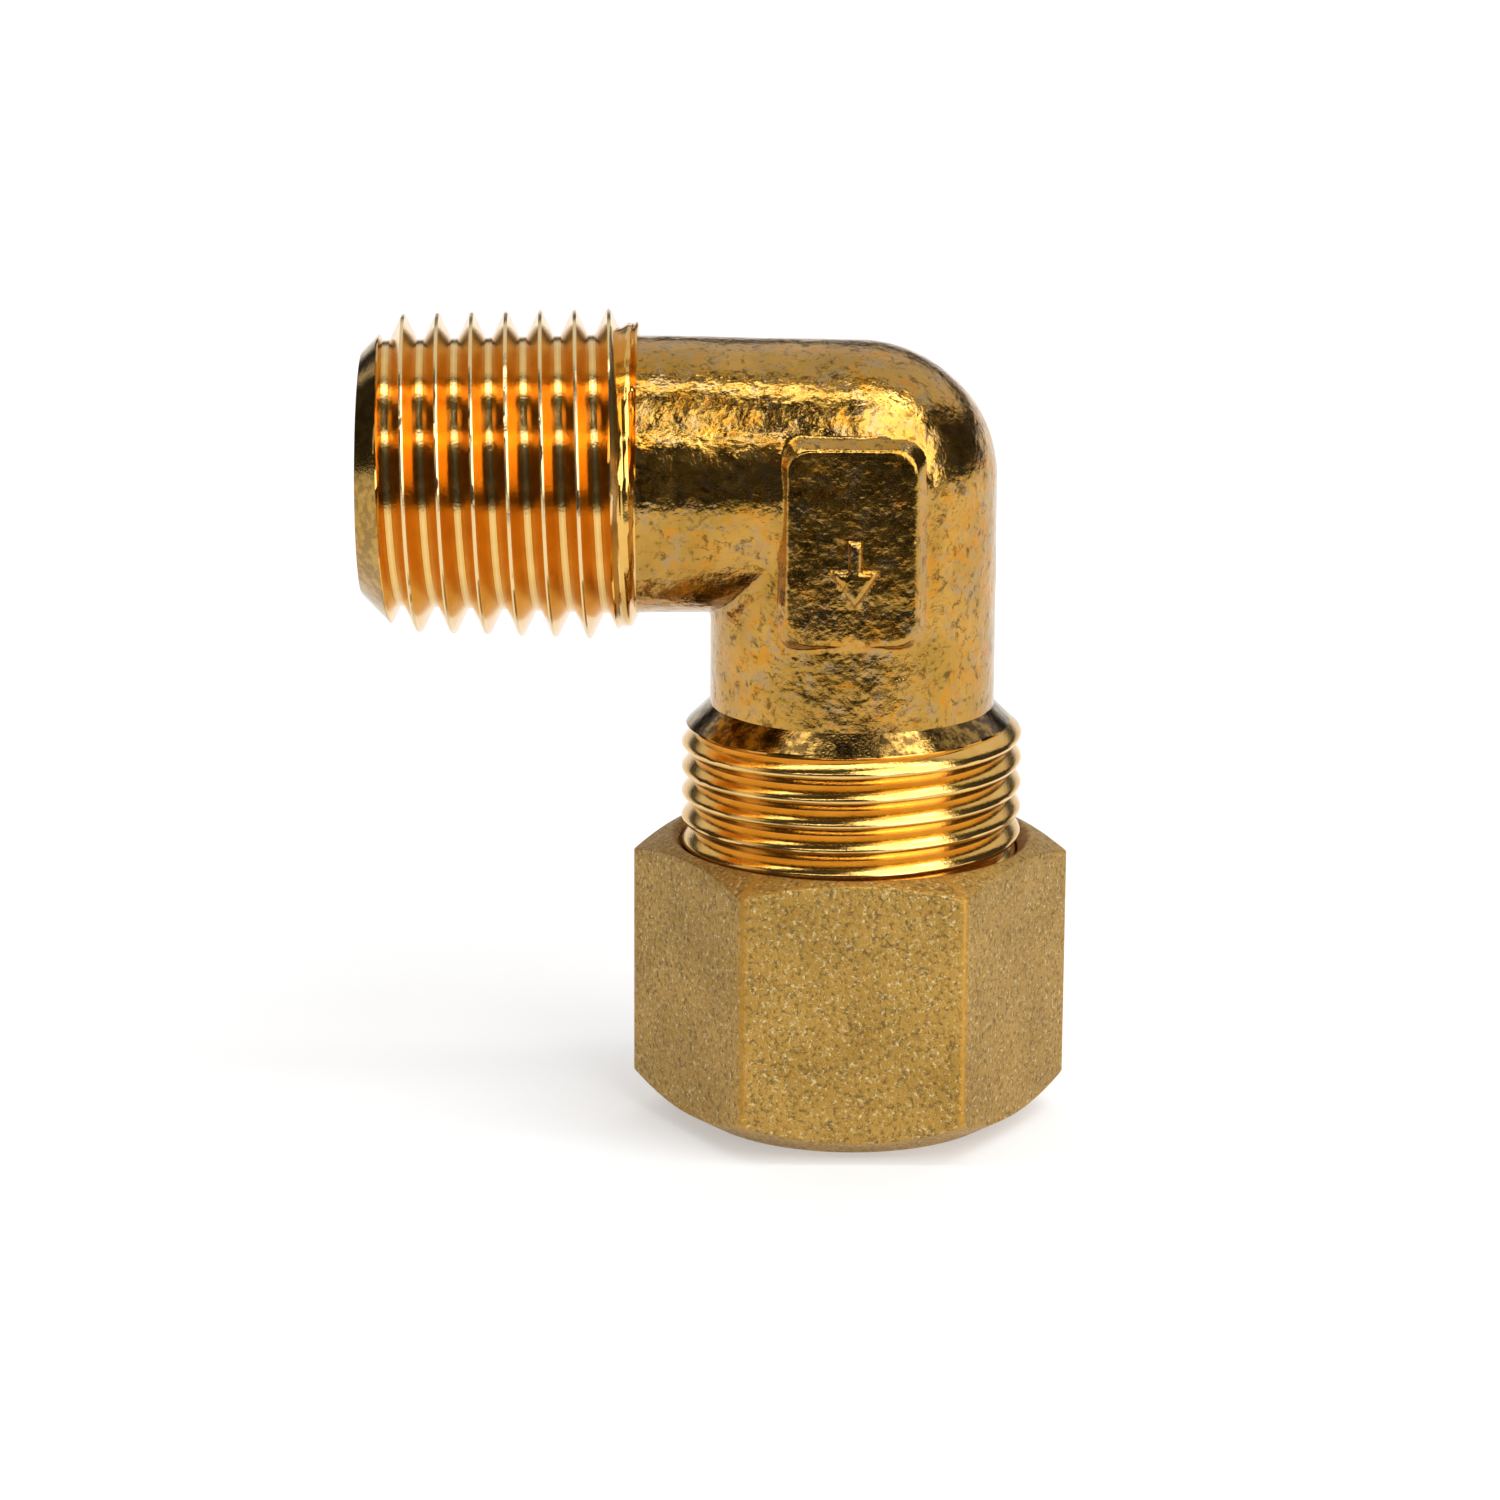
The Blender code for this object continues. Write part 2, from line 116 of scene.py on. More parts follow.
NUT_HEIGHT = 12.02 * MM
NUT_BORE_RADIUS = 6.77 * MM
NUT_BORE_BOTTOM = 3.90 * MM
NUT_SEAT_BOTTOM = 2.30 * MM
NUT_HOLE_RADIUS = TUBE_DIAMETER / 2 + 0.10 * MM
NUT_THREAD_BOTTOM = 6.30 * MM
NUT_CLEARANCE = 0.095 * MM
NUT_GROOVE_FLAT = 0.33 * MM
NUT_BASE_RADIUS = 6.37 * MM
NUT_BASE_SLOPE = math.tan(math.radians(30))
NUT_TOP_RADIUS = 7.62 * MM
NUT_TOP_SLOPE = math.tan(math.radians(25.3))
NUT_MOUTH_RADIUS = 7.50 * MM
EDGE_WIDTH = 0.9  # degrees either side of a corner that the tumbling has worn

SLEEVE_BOTTOM = 2.75 * MM
SLEEVE_TOP = SLEEVE_BOTTOM + INCH / 4
SLEEVE_BORE = TUBE_DIAMETER / 2 + 0.05 * MM
SLEEVE_RADIUS = 5.70 * MM
SLEEVE_NOSE = 5.05 * MM
SLEEVE_NOSE_LENGTH = 1.15 * MM

# The pads and the mark
PAD_FACE = 6.05 * MM
PAD_LOW = (-2.80 * MM, 21.50 * MM)  # x from the tube's axis, and height, of the face's corners
PAD_HIGH = (2.45 * MM, 29.50 * MM)
PAD_RUN = 0.42 * MM  # how far each side slopes out over the pad's depth
PAD_DEPTH = 0.75 * MM
PAD_CORNER = 0.9 * MM
MARK_CENTRE = (-0.05 * MM, 24.45 * MM)
MARK_HEIGHT = 0.28 * MM
ARROW_HEIGHT = 2.60 * MM
ARROW_HEAD = 0.95 * MM
ARROW_SHAFT = 0.24 * MM
ARROW_BARB = 0.10 * MM

# From a turned piece's own axis to its place in the fitting
UPRIGHT = Matrix.Translation((AXIS_X, 0.0, 0.0))
ALONG_ARM = Matrix.Translation((AXIS_X, 0.0, ARM_HEIGHT)) @ Matrix.Rotation(-math.pi / 2, 4, "Y")


# ---------------------------------------------------------------- turned and threaded meshes

# Chips and ragged edges come from noise read round a ring, so that they meet after a turn
CHIP_RING = 6
CHIP_RISE = 1.5
CHIP_SCALE = 1.6
CHIP_FLOOR = 0.15  # noise below this leaves the crest whole
PIPE_CHIPS = 0.10 * MM
NUT_THREAD_CHIPS = 0.05 * MM
RAGGED_RING = 9
RAGGED_SHARE = 0.008

# A thread's attribute is a painted highlight above 0, on crests and roots, and darker below 0: painted shade
# on the shoulder, and darkening on the pipe's end chamfer. On the nut it is the wear on its corners.
PIPE_SHEEN = 0.6
NUT_THREAD_SHEEN = 0.3
COLLAR_WEAR = 0.1
END_DARKENING = -0.7
SHOULDER_SHADE = -1.0


def angles():
    """Column angles, with the last column on top of the first, to be merged with it."""
    even = np.linspace(0.0, 360.0, STEPS + 1)
    corners = [corner * 60.0 + offset for corner in range(7) for offset in CORNER_COLUMNS]
    inside = [angle for angle in corners if 0.0 < angle < 360.0]
    return np.radians(np.sort(np.concatenate([even, inside])))


def ring_mesh(name, radius, height, sheen_wear_and_darkening=None):
    """A closed skin from rows of radius and height, which run down the outside and up the inside."""
    rows, columns = radius.shape
    turn = angles()
    points = np.stack([radius * np.cos(turn), radius * np.sin(turn), height], axis=-1)
    row = np.arange(rows)[:, None]
    after = (row + 1) % rows
    column = np.arange(columns - 1)[None, :]
    quads = np.stack([
        row * columns + column,
        after * columns + column,
        after * columns + column + 1,
        row * columns + column + 1,
    ], axis=-1).reshape(-1, 4)
    mesh = bpy.data.meshes.new(name)
    mesh.from_pydata(points.reshape(-1, 3).tolist(), [], quads.tolist())
    if sheen_wear_and_darkening is not None:
        shade = mesh.attributes.new("sheen_wear_and_darkening", "FLOAT", "POINT")
        shade.data.foreach_set("value", sheen_wear_and_darkening.reshape(-1).astype(np.float32))
    work = bmesh.new()
    work.from_mesh(mesh)
    bmesh.ops.remove_doubles(work, verts=work.verts, dist=MERGE)
    bmesh.ops.dissolve_degenerate(work, edges=work.edges, dist=MERGE)
    bmesh.ops.recalc_face_normals(work, faces=work.faces)
    work.to_mesh(mesh)
    work.free()
    made = bpy.data.objects.new(name, mesh)
    bpy.context.scene.collection.objects.link(made)
    return made


def plain_rows(profile):
    """Rows for a turned profile of (radius, height) points."""
    columns = np.ones_like(angles())
    radius = np.array([[point[0]] for point in profile]) * columns
    height = np.array([[point[1]] for point in profile]) * columns
    return radius, height


def helix_rows(pitch, crest_at, low, high):
    """Heights that follow a right-hand helix, from high to low, held between the two."""
    step = pitch / ROWS_PER_PITCH
    first = crest_at + step * math.ceil((high - crest_at) / step)
    count = math.ceil((first - low + pitch) / step) + 1
    starts = first - step * np.arange(count)
    return np.clip(starts[:, None] + pitch * angles()[None, :] / (2 * math.pi), low, high)


def crest_distance(height, pitch, crest_at):
    """Distance along the axis from the nearest crest."""
    turns = (height - crest_at) / pitch - angles()[None, :] / (2 * math.pi)
    return np.abs((turns + 0.5) % 1.0 - 0.5) * pitch


def flank_drop(distance, crest_flat, depth, slope=FLANK_SLOPE):
    return np.clip((distance - crest_flat / 2) / slope, 0.0, depth)


def crest_and_root_sheen(distance, crest_flat, pitch):
    """Strength of the painted highlight: 1 on the crests and roots of a thread, falling to 0 on its flanks.
    """
    width = 0.07 * MM
    crest = np.exp(-(np.maximum(distance - crest_flat / 2, 0.0) / width) ** 2)
    root = np.exp(-((pitch / 2 - distance) / width) ** 2)
    return np.maximum(crest, 0.8 * root)


def chipped(height, amount, seed):
    """Small uneven bites out of a crest, as a fresh-cut thread has. The seed moves their places."""
    turn = angles()
    chips = np.zeros_like(height)
    for row in range(height.shape[0]):
        for column in range(height.shape[1] - 1):
            place = Vector((
                CHIP_RING * math.cos(turn[column]) + seed,
                CHIP_RING * math.sin(turn[column]),
                height[row, column] / MM * CHIP_RISE,
            ))
            chips[row, column] = max(0.0, noise.noise(place * CHIP_SCALE) - CHIP_FLOOR)
    chips[:, -1] = chips[:, 0]
    return chips * amount


def pipe_crest(reach):
    return PIPE_MAJOR - PIPE_TAPER * (reach - PIPE_FULL)


def male_thread():
    """The taper thread, its end face and collar, and the bore inside it, about local +Z."""
    inner_end = 8.95 * MM
    reach = helix_rows(PIPE_PITCH, PIPE_CREST_AT, inner_end, FACE_REACH)
    distance = crest_distance(reach, PIPE_PITCH, PIPE_CREST_AT)
    drop = flank_drop(distance, PIPE_FLAT, PIPE_DEPTH, PIPE_SLOPE)
    crest = pipe_crest(reach) - chipped(reach, PIPE_CHIPS, seed=3.0)
    radius = np.minimum(crest, pipe_crest(reach) - drop)
    end_chamfer = PIPE_END_RADIUS + (FACE_REACH - reach)
    start_chamfer = np.interp(
        reach,
        [inner_end, COLLAR_REACH[1] + 0.2 * MM, PIPE_THREAD_END],
        [COLLAR_RADIUS, COLLAR_RADIUS, pipe_crest(PIPE_THREAD_END)],
    )
    start_chamfer = np.where(reach > PIPE_THREAD_END, 1.0, start_chamfer)
    radius = np.minimum(radius, np.minimum(end_chamfer, start_chamfer))
    ragged = 1.0 + RAGGED_SHARE * np.array([
        noise.noise(Vector((RAGGED_RING * math.cos(a), RAGGED_RING * math.sin(a), 0.0)))
        for a in angles()
    ])
    ragged[-1] = ragged[0]
    collar = np.interp(
        reach,
        [inner_end, COLLAR_REACH[0] - 0.02 * MM, COLLAR_REACH[0] + 0.06 * MM,
         COLLAR_REACH[1] - 0.05 * MM, COLLAR_REACH[1] + 0.05 * MM, PIPE_THREAD_END - 0.15 * MM],
        [5.70 * MM, 5.95 * MM, 6.22 * MM, 6.26 * MM, 6.20 * MM, RUNOUT_ROOT],
    )
    collar = np.where(reach > PIPE_THREAD_END - 0.15 * MM, 0.0, collar * ragged[None, :])
    # Painted highlight on the crests and roots, none on the collar, and darkening on the end chamfer
    sheen_wear_and_darkening = PIPE_SHEEN * crest_and_root_sheen(distance, PIPE_FLAT, PIPE_PITCH)
    sheen_wear_and_darkening = np.where(collar > radius, COLLAR_WEAR, sheen_wear_and_darkening)
    sheen_wear_and_darkening = np.where(end_chamfer < pipe_crest(reach) - drop, END_DARKENING, sheen_wear_and_darkening)
    radius = np.maximum(radius, collar)
    bore, depth = plain_rows([
        (PIPE_END_RADIUS - 0.03 * MM, FACE_REACH),
        (ARM_BORE_RADIUS + 0.53 * MM, FACE_REACH),
        (ARM_BORE_RADIUS + 0.47 * MM, FACE_REACH - 0.02 * MM),
        (ARM_BORE_RADIUS + 0.02 * MM, FACE_REACH - 0.47 * MM),
        (ARM_BORE_RADIUS, FACE_REACH - 0.55 * MM),
        (ARM_BORE_RADIUS, FACE_REACH - 3 * MM),
        (ARM_BORE_RADIUS, inner_end),
    ])
    radius = np.concatenate([radius, bore[::-1]])
    height = np.concatenate([reach, depth[::-1]])
    sheen_wear_and_darkening = np.concatenate([sheen_wear_and_darkening, np.zeros_like(bore)])
    made = ring_mesh("male_thread", radius, height, sheen_wear_and_darkening)
    made.data.transform(ALONG_ARM)
    return made


def compression_thread():
    """The thread that the nut runs on, its shoulder, and the seat and socket inside it."""
    top = SHOULDER_TOP + 0.05 * MM
    height = helix_rows(NUT_THREAD_PITCH, NUT_THREAD_AT, BODY_END, top)
    distance = crest_distance(height, NUT_THREAD_PITCH, NUT_THREAD_AT)
    drop = NUT_THREAD_DEPTH * (distance / (NUT_THREAD_PITCH / 2)) ** NUT_THREAD_ROUNDING
    crest = NUT_THREAD_CREST - chipped(height, NUT_THREAD_CHIPS, seed=11.0)
    radius = np.minimum(crest, NUT_THREAD_CREST - drop)
    shoulder = LEG_RADIUS + (SHOULDER_TOP - height) * SHOULDER_SLOPE
    end_chamfer = NUT_THREAD_CREST - LEAD_CHAMFER + (height - BODY_END)
    sheen_wear_and_darkening = NUT_THREAD_SHEEN * crest_and_root_sheen(distance, 0.0, NUT_THREAD_PITCH)
    # Painted shade on the shoulder under the leg
    sheen_wear_and_darkening = np.where(shoulder < radius, SHOULDER_SHADE, sheen_wear_and_darkening)
    radius = np.minimum(radius, np.minimum(shoulder, end_chamfer))
    seat_top = BODY_END + (SEAT_MOUTH_RADIUS - SOCKET_RADIUS) / SEAT_SLOPE
    bore, depth = plain_rows([
        (SEAT_MOUTH_RADIUS + 0.03 * MM, BODY_END),
        (SEAT_MOUTH_RADIUS - 0.03 * MM, BODY_END + 0.03 * MM),
        (SOCKET_RADIUS + 0.02 * MM, seat_top - 0.03 * MM),
        (SOCKET_RADIUS, seat_top + 0.02 * MM),
        (SOCKET_RADIUS, SOCKET_STOP - 0.02 * MM),
        (WATERWAY_RADIUS, SOCKET_STOP),
        (WATERWAY_RADIUS, top),
    ])
    radius = np.concatenate([radius, bore])
    height = np.concatenate([height, depth])
    sheen_wear_and_darkening = np.concatenate([sheen_wear_and_darkening, np.zeros_like(bore)])
    made = ring_mesh("compression_thread", radius, height, sheen_wear_and_darkening)
    made.data.transform(UPRIGHT)
    return made


# ---------------------------------------------------------------- forged elbow

def turned_solid(work, profile, place, steps=96):
    """Adds a closed turned solid to a bmesh. The profile starts and ends on the axis."""
    rings = []
    for radius, height in profile:
        if radius == 0.0:
            rings.append([work.verts.new(place @ Vector((0.0, 0.0, height)))])
            continue
        rings.append([
            work.verts.new(place @ Vector((
                radius * math.cos(2 * math.pi * i / steps),
                radius * math.sin(2 * math.pi * i / steps),
                height,
            )))
            for i in range(steps)
        ])
    for upper, lower in zip(rings, rings[1:]):
        for i in range(steps):
            j = (i + 1) % steps
            if len(upper) == 1:
                work.faces.new((upper[0], lower[i], lower[j]))
            elif len(lower) == 1:
                work.faces.new((upper[i], lower[0], upper[j]))
            else:
                work.faces.new((upper[i], lower[i], lower[j], upper[j]))


def pad_solid(work, side):
    """Adds a flat pad with sloping sides and rounded corners, on the -Y or +Y side."""
    new = bmesh.new()
    bmesh.ops.create_cube(new, size=1.0)
    for vertex in new.verts:
        outer = vertex.co.y * side > 0
        spread = 0.0 if outer else PAD_RUN
        vertex.co.x = PAD_HIGH[0] + spread if vertex.co.x > 0 else PAD_LOW[0] - spread
        vertex.co.z = PAD_HIGH[1] + spread if vertex.co.z > 0 else PAD_LOW[1] - spread
        vertex.co.y = side * (PAD_FACE if outer else PAD_FACE - PAD_DEPTH)
        vertex.co.x += AXIS_X
    slanted = [e for e in new.edges if abs(e.verts[0].co.y - e.verts[1].co.y) > PAD_DEPTH / 2]
    bmesh.ops.bevel(new, geom=slanted, offset=PAD_CORNER, segments=8, profile=0.5, affect="EDGES")
    mesh = bpy.data.meshes.new("pad")
    new.to_mesh(mesh)
    new.free()
    work.from_mesh(mesh)
    bpy.data.meshes.remove(mesh)


def applied(obj):
    bpy.context.view_layer.update()
    graph = bpy.context.evaluated_depsgraph_get()
    mesh = bpy.data.meshes.new_from_object(obj.evaluated_get(graph))
    obj.modifiers.clear()
    obj.data = mesh
    return obj


def arrow_height(x, z):
    """Height of the arrow's relief at a place on the pad, with soft shoulders."""
    x = np.abs(x)
    slope = ARROW_HEAD / (ARROW_BARB + ARROW_HEIGHT / 2)
    side = (ARROW_HEAD - x - slope * (ARROW_BARB - z)) / math.hypot(1.0, slope)
    head = np.minimum(side, ARROW_BARB - z)
    shaft = np.minimum(ARROW_SHAFT - x, np.minimum(ARROW_HEIGHT / 2 - z, z + ARROW_BARB))
    inside = np.maximum(head, shaft)
    share = np.clip(inside / (0.24 * MM) + 0.2, 0.0, 1.0)
    return np.sqrt(1 - (1 - share) ** 2) * MARK_HEIGHT


def forging():
    """The forged elbow: leg, arm, corner and pads run together, then softened and made uneven."""
    work = bmesh.new()
    dome = [
        (LEG_RADIUS * math.sin(math.pi / 2 * i / DOME_STEPS),
         ARM_HEIGHT + DOME_HEIGHT * math.cos(math.pi / 2 * i / DOME_STEPS))
        for i in range(DOME_STEPS)
    ]
    leg_end = SHOULDER_TOP - FORGING_OVERLAP
    turned_solid(work, dome + [(LEG_RADIUS, ARM_HEIGHT), (LEG_RADIUS, leg_end), (0.0, leg_end)],
                 UPRIGHT)
    arm_end = COLLAR_REACH[0] + COLLAR_OVERLAP
    sides = [
        (ARM_RADIUS_AT_CORNER + (ARM_RADIUS_AT_COLLAR - ARM_RADIUS_AT_CORNER) * share, arm_end * share)
        for share in np.linspace(1.0, 0.0, 13)
    ]
    before = set(work.verts)
    turned_solid(work, [(0.0, arm_end)] + sides + [(0.0, 0.0)], ALONG_ARM)
    for vertex in set(work.verts) - before:
        share = 1.0 - min(1.0, (AXIS_X - vertex.co.x) / CORNER_BLEND)
        vertex.co.y *= 1.0 + (LEG_RADIUS / ARM_RADIUS_AT_CORNER - 1.0) * share * share * (3 - 2 * share)
    pad_solid(work, -1)
    pad_solid(work, 1)
    bmesh.ops.recalc_face_normals(work, faces=work.faces)
    mesh = bpy.data.meshes.new("forging")
    work.to_mesh(mesh)
    work.free()
    made = bpy.data.objects.new("forging", mesh)
    bpy.context.scene.collection.objects.link(made)
    remesh = made.modifiers.new("remesh", "REMESH")
    remesh.mode = "VOXEL"
    remesh.voxel_size = VOXEL
    smooth = made.modifiers.new("smooth", "SMOOTH")
    smooth.factor = 0.5
    smooth.iterations = SMOOTHING
    applied(made)
    roughen(made.data)
    return made


def roughen(mesh):
    """Raises the arrow on the front pad, and gives the skin the slight waves of a forging."""
    count = len(mesh.vertices)
    points = np.empty(count * 3, np.float32)
    normals = np.empty(count * 3, np.float32)
    mesh.vertices.foreach_get("co", points)
    mesh.vertices.foreach_get("normal", normals)
    points = points.reshape(-1, 3).astype(float)
    normals = normals.reshape(-1, 3).astype(float)
    waves = np.array([
        sum(height * noise.noise(Vector(p) / length) for height, length in WAVES)
        for p in points
    ]) * MM
    moved = points + normals * waves[:, None]
    lift = arrow_height(points[:, 0] - AXIS_X - MARK_CENTRE[0], points[:, 2] - MARK_CENTRE[1])
    front = (normals[:, 1] < -0.5) & (points[:, 1] < -5.0 * MM)
    moved[:, 1] -= np.where(front, lift, 0.0)
    mesh.vertices.foreach_set("co", moved.reshape(-1).astype(np.float32))
    mesh.update()


def cutter(name, profile, place):
    work = bmesh.new()
    turned_solid(work, profile, place)
    bmesh.ops.recalc_face_normals(work, faces=work.faces)
    mesh = bpy.data.meshes.new(name)
    work.to_mesh(mesh)
    work.free()
    made = bpy.data.objects.new(name, mesh)
    bpy.context.scene.collection.objects.link(made)
    return made


def bored_forging():
    """The forging with both waterways drilled through it. Its ends are inside the thread pieces."""
    body = forging()
    arm_start, tube_start = DRILL_RUN
    drills = [
        cutter("tube_drill", [
            (0.0, WATERWAY_TOP + WATERWAY_RADIUS * DRILL_POINT_SLOPE),
            (WATERWAY_RADIUS, WATERWAY_TOP),
            (WATERWAY_RADIUS, tube_start),
            (0.0, tube_start),
        ], UPRIGHT),
        cutter("arm_drill", [
            (0.0, arm_start),
            (ARM_BORE_RADIUS, arm_start),
            (ARM_BORE_RADIUS, ARM_BORE_END),
            (0.0, ARM_BORE_END - ARM_BORE_RADIUS * DRILL_POINT_SLOPE),
        ], ALONG_ARM),
    ]
    for drill in drills:
        cut = body.modifiers.new("drill", "BOOLEAN")
        cut.operation = "DIFFERENCE"
        cut.object = drill
    applied(body)
    for drill in drills:
        bpy.data.objects.remove(drill)
    return body


# ---------------------------------------------------------------- nut and sleeve

def corner_angle():
    """Angle of each column from the nearest corner of the hexagon."""
    return (angles() + math.pi / 6) % (math.pi / 3) - math.pi / 6


def hexagon_radius():
    """Distance from the axis to the hexagon's side at each column, with slightly rounded corners."""
    sector = corner_angle()
    flat = ACROSS_FLATS / 2 / np.cos(math.pi / 6 - np.abs(sector))
    rounding = CORNER_RADIUS - 0.045 * MM
    blend = 0.015 * MM
    return -blend * np.logaddexp(-flat / blend, -rounding / blend)


def nut():
    """The hexagon nut: chamfered ends, flats, a mouth, the thread, the seat and the tube's hole."""
    side = hexagon_radius()
    top_edge = NUT_HEIGHT - (side - NUT_TOP_RADIUS) * NUT_TOP_SLOPE
    base_edge = (side - NUT_BASE_RADIUS) * NUT_BASE_SLOPE
    ones = np.ones_like(side)
    soft = 0.05 * MM
    rows = [
        ((NUT_MOUTH_RADIUS + soft) * ones, NUT_HEIGHT * ones),
        ((NUT_TOP_RADIUS - soft / 2) * ones, NUT_HEIGHT * ones),
        ((NUT_TOP_RADIUS + soft) * ones, (NUT_HEIGHT - soft * NUT_TOP_SLOPE) * ones),
    ]
    for share in (0.25, 0.5, 0.75):
        radius = NUT_TOP_RADIUS + (side - NUT_TOP_RADIUS) * share
        rows.append((radius, NUT_HEIGHT - (radius - NUT_TOP_RADIUS) * NUT_TOP_SLOPE))
    rows.append((side - soft, top_edge + soft * NUT_TOP_SLOPE))
    rows.append((side - 0.2 * soft, top_edge - 0.3 * soft))
    rows.append((side, top_edge - soft))
    for share in np.linspace(0.1, 0.9, 9):
        rows.append((side, top_edge + (base_edge - top_edge) * share))
    rows.append((side, base_edge + soft))
    rows.append((side - 0.2 * soft, base_edge + 0.3 * soft))
    rows.append((side - soft, base_edge - soft * NUT_BASE_SLOPE))
    for share in (0.75, 0.5, 0.25):
        radius = NUT_BASE_RADIUS + (side - NUT_BASE_RADIUS) * share
        rows.append((radius, (radius - NUT_BASE_RADIUS) * NUT_BASE_SLOPE))
    rows += [
        ((NUT_BASE_RADIUS + soft) * ones, soft * NUT_BASE_SLOPE * ones),
        ((NUT_BASE_RADIUS - soft) * ones, 0.0 * ones),
        ((NUT_HOLE_RADIUS + 0.12 * MM) * ones, 0.0 * ones),
        (NUT_HOLE_RADIUS * ones, 0.12 * MM * ones),
        (NUT_HOLE_RADIUS * ones, NUT_SEAT_BOTTOM * ones),
        (NUT_BORE_RADIUS * ones, NUT_BORE_BOTTOM * ones),
        (NUT_BORE_RADIUS * ones, (NUT_THREAD_BOTTOM - 0.05 * MM) * ones),
    ]
    radius = np.array([row[0] for row in rows])
    height = np.array([row[1] for row in rows])
    mouth = NUT_HEIGHT - 0.04 * MM
    threads = helix_rows(NUT_THREAD_PITCH, NUT_THREAD_AT, NUT_THREAD_BOTTOM, mouth)[::-1]
    distance = crest_distance(threads, NUT_THREAD_PITCH, NUT_THREAD_AT)
    groove = NUT_THREAD_CREST + NUT_CLEARANCE
    inner = groove - flank_drop(distance, NUT_GROOVE_FLAT, groove - NUT_BORE_RADIUS)
    fade = np.clip((threads - NUT_THREAD_BOTTOM) / (0.5 * MM), 0.0, 1.0)
    inner = NUT_BORE_RADIUS + (inner - NUT_BORE_RADIUS) * fade
    inner = np.maximum(inner, NUT_MOUTH_RADIUS - (NUT_HEIGHT - threads))
    sheen_wear_and_darkening = np.zeros_like(np.concatenate([radius, inner]))
    sheen_wear_and_darkening[:len(rows)] = np.exp(-(np.degrees(corner_angle()) / EDGE_WIDTH) ** 2)
    made = ring_mesh(
        "hexagon_nut", np.concatenate([radius, inner]), np.concatenate([height, threads]), sheen_wear_and_darkening
    )
    made.data.transform(UPRIGHT)
    return made


def sleeve():
    soft = 0.06 * MM
    radius, height = plain_rows([
        (SLEEVE_NOSE, SLEEVE_TOP - soft),
        (SLEEVE_RADIUS - soft, SLEEVE_TOP - SLEEVE_NOSE_LENGTH + soft),
        (SLEEVE_RADIUS, SLEEVE_TOP - SLEEVE_NOSE_LENGTH - soft),
        (SLEEVE_RADIUS, SLEEVE_BOTTOM + SLEEVE_NOSE_LENGTH + soft),
        (SLEEVE_RADIUS - soft, SLEEVE_BOTTOM + SLEEVE_NOSE_LENGTH - soft),
        (SLEEVE_NOSE, SLEEVE_BOTTOM + soft),
        (SLEEVE_NOSE - soft, SLEEVE_BOTTOM),
        (SLEEVE_BORE + soft / 2, SLEEVE_BOTTOM),
        (SLEEVE_BORE, SLEEVE_BOTTOM + soft / 2),
        (SLEEVE_BORE, SLEEVE_TOP - soft / 2),
        (SLEEVE_BORE + soft / 2, SLEEVE_TOP),
        (SLEEVE_NOSE - soft, SLEEVE_TOP),
    ])
    made = ring_mesh("sleeve", radius, height)
    made.data.transform(UPRIGHT)
    return made


# ---------------------------------------------------------------- materials

class Nodes:
    """A short way to add and join a material's nodes."""

    def __init__(self, name):
        self.material = bpy.data.materials.new(name)
        self.material.use_nodes = True
        self.tree = self.material.node_tree
        self.shader = self.tree.nodes["Principled BSDF"]
        self.place = self.add("ShaderNodeTexCoord").outputs["Object"]

    def add(self, kind, **settings):
        node = self.tree.nodes.new(kind)
        for key, value in settings.items():
            setattr(node, key, value)
        return node

    def join(self, source, target):
        self.tree.links.new(source, target)

    def noise(self, size, detail=3.0, roughness=0.5, distortion=0.0, place=None):
        """Noise from 0 to 1 whose features are about this size in metres."""
        node = self.add("ShaderNodeTexNoise")
        node.inputs["Scale"].default_value = 1.0 / size
        node.inputs["Detail"].default_value = detail
        node.inputs["Roughness"].default_value = roughness
        node.inputs["Distortion"].default_value = distortion
        self.join(place or self.place, node.inputs["Vector"])
        return node.outputs["Fac"]

    def spread(self, value, low, high, to_low=0.0, to_high=1.0):
        node = self.add("ShaderNodeMapRange")
        for socket, number in zip(("From Min", "From Max", "To Min", "To Max"),
                                  (low, high, to_low, to_high)):
            node.inputs[socket].default_value = number
        self.join(value, node.inputs["Value"])
        return node.outputs["Result"]

    def mix(self, share, first, second):
        node = self.add("ShaderNodeMix", data_type="RGBA")
        for value, socket in ((first, node.inputs[6]), (second, node.inputs[7])):
            if isinstance(value, tuple):
                socket.default_value = (*value, 1.0)
            else:
                self.join(value, socket)
        self.join(share, node.inputs[0])
        return node.outputs[2]

    def sum(self, *terms):
        """Adds (value, weight) pairs."""
        total = None
        for value, weight in terms:
            scaled = self.add("ShaderNodeMath", operation="MULTIPLY")
            scaled.inputs[1].default_value = weight
            self.join(value, scaled.inputs[0])
            if total is None:
                total = scaled.outputs[0]
                continue
            both = self.add("ShaderNodeMath", operation="ADD")
            self.join(total, both.inputs[0])
            self.join(scaled.outputs[0], both.inputs[1])
            total = both.outputs[0]
        return total

    def bump(self, height, depth):
        """Relief of this depth in metres, for a height from 0 to 1."""
        node = self.add("ShaderNodeBump")
        node.inputs["Distance"].default_value = depth
        self.join(height, node.inputs["Height"])
        self.join(node.outputs["Normal"], self.shader.inputs["Normal"])

    def finish(self, colour, roughness):
        self.shader.inputs["Metallic"].default_value = 1.0
        self.join(colour, self.shader.inputs["Base Color"])
        self.join(roughness, self.shader.inputs["Roughness"])
        return self.material


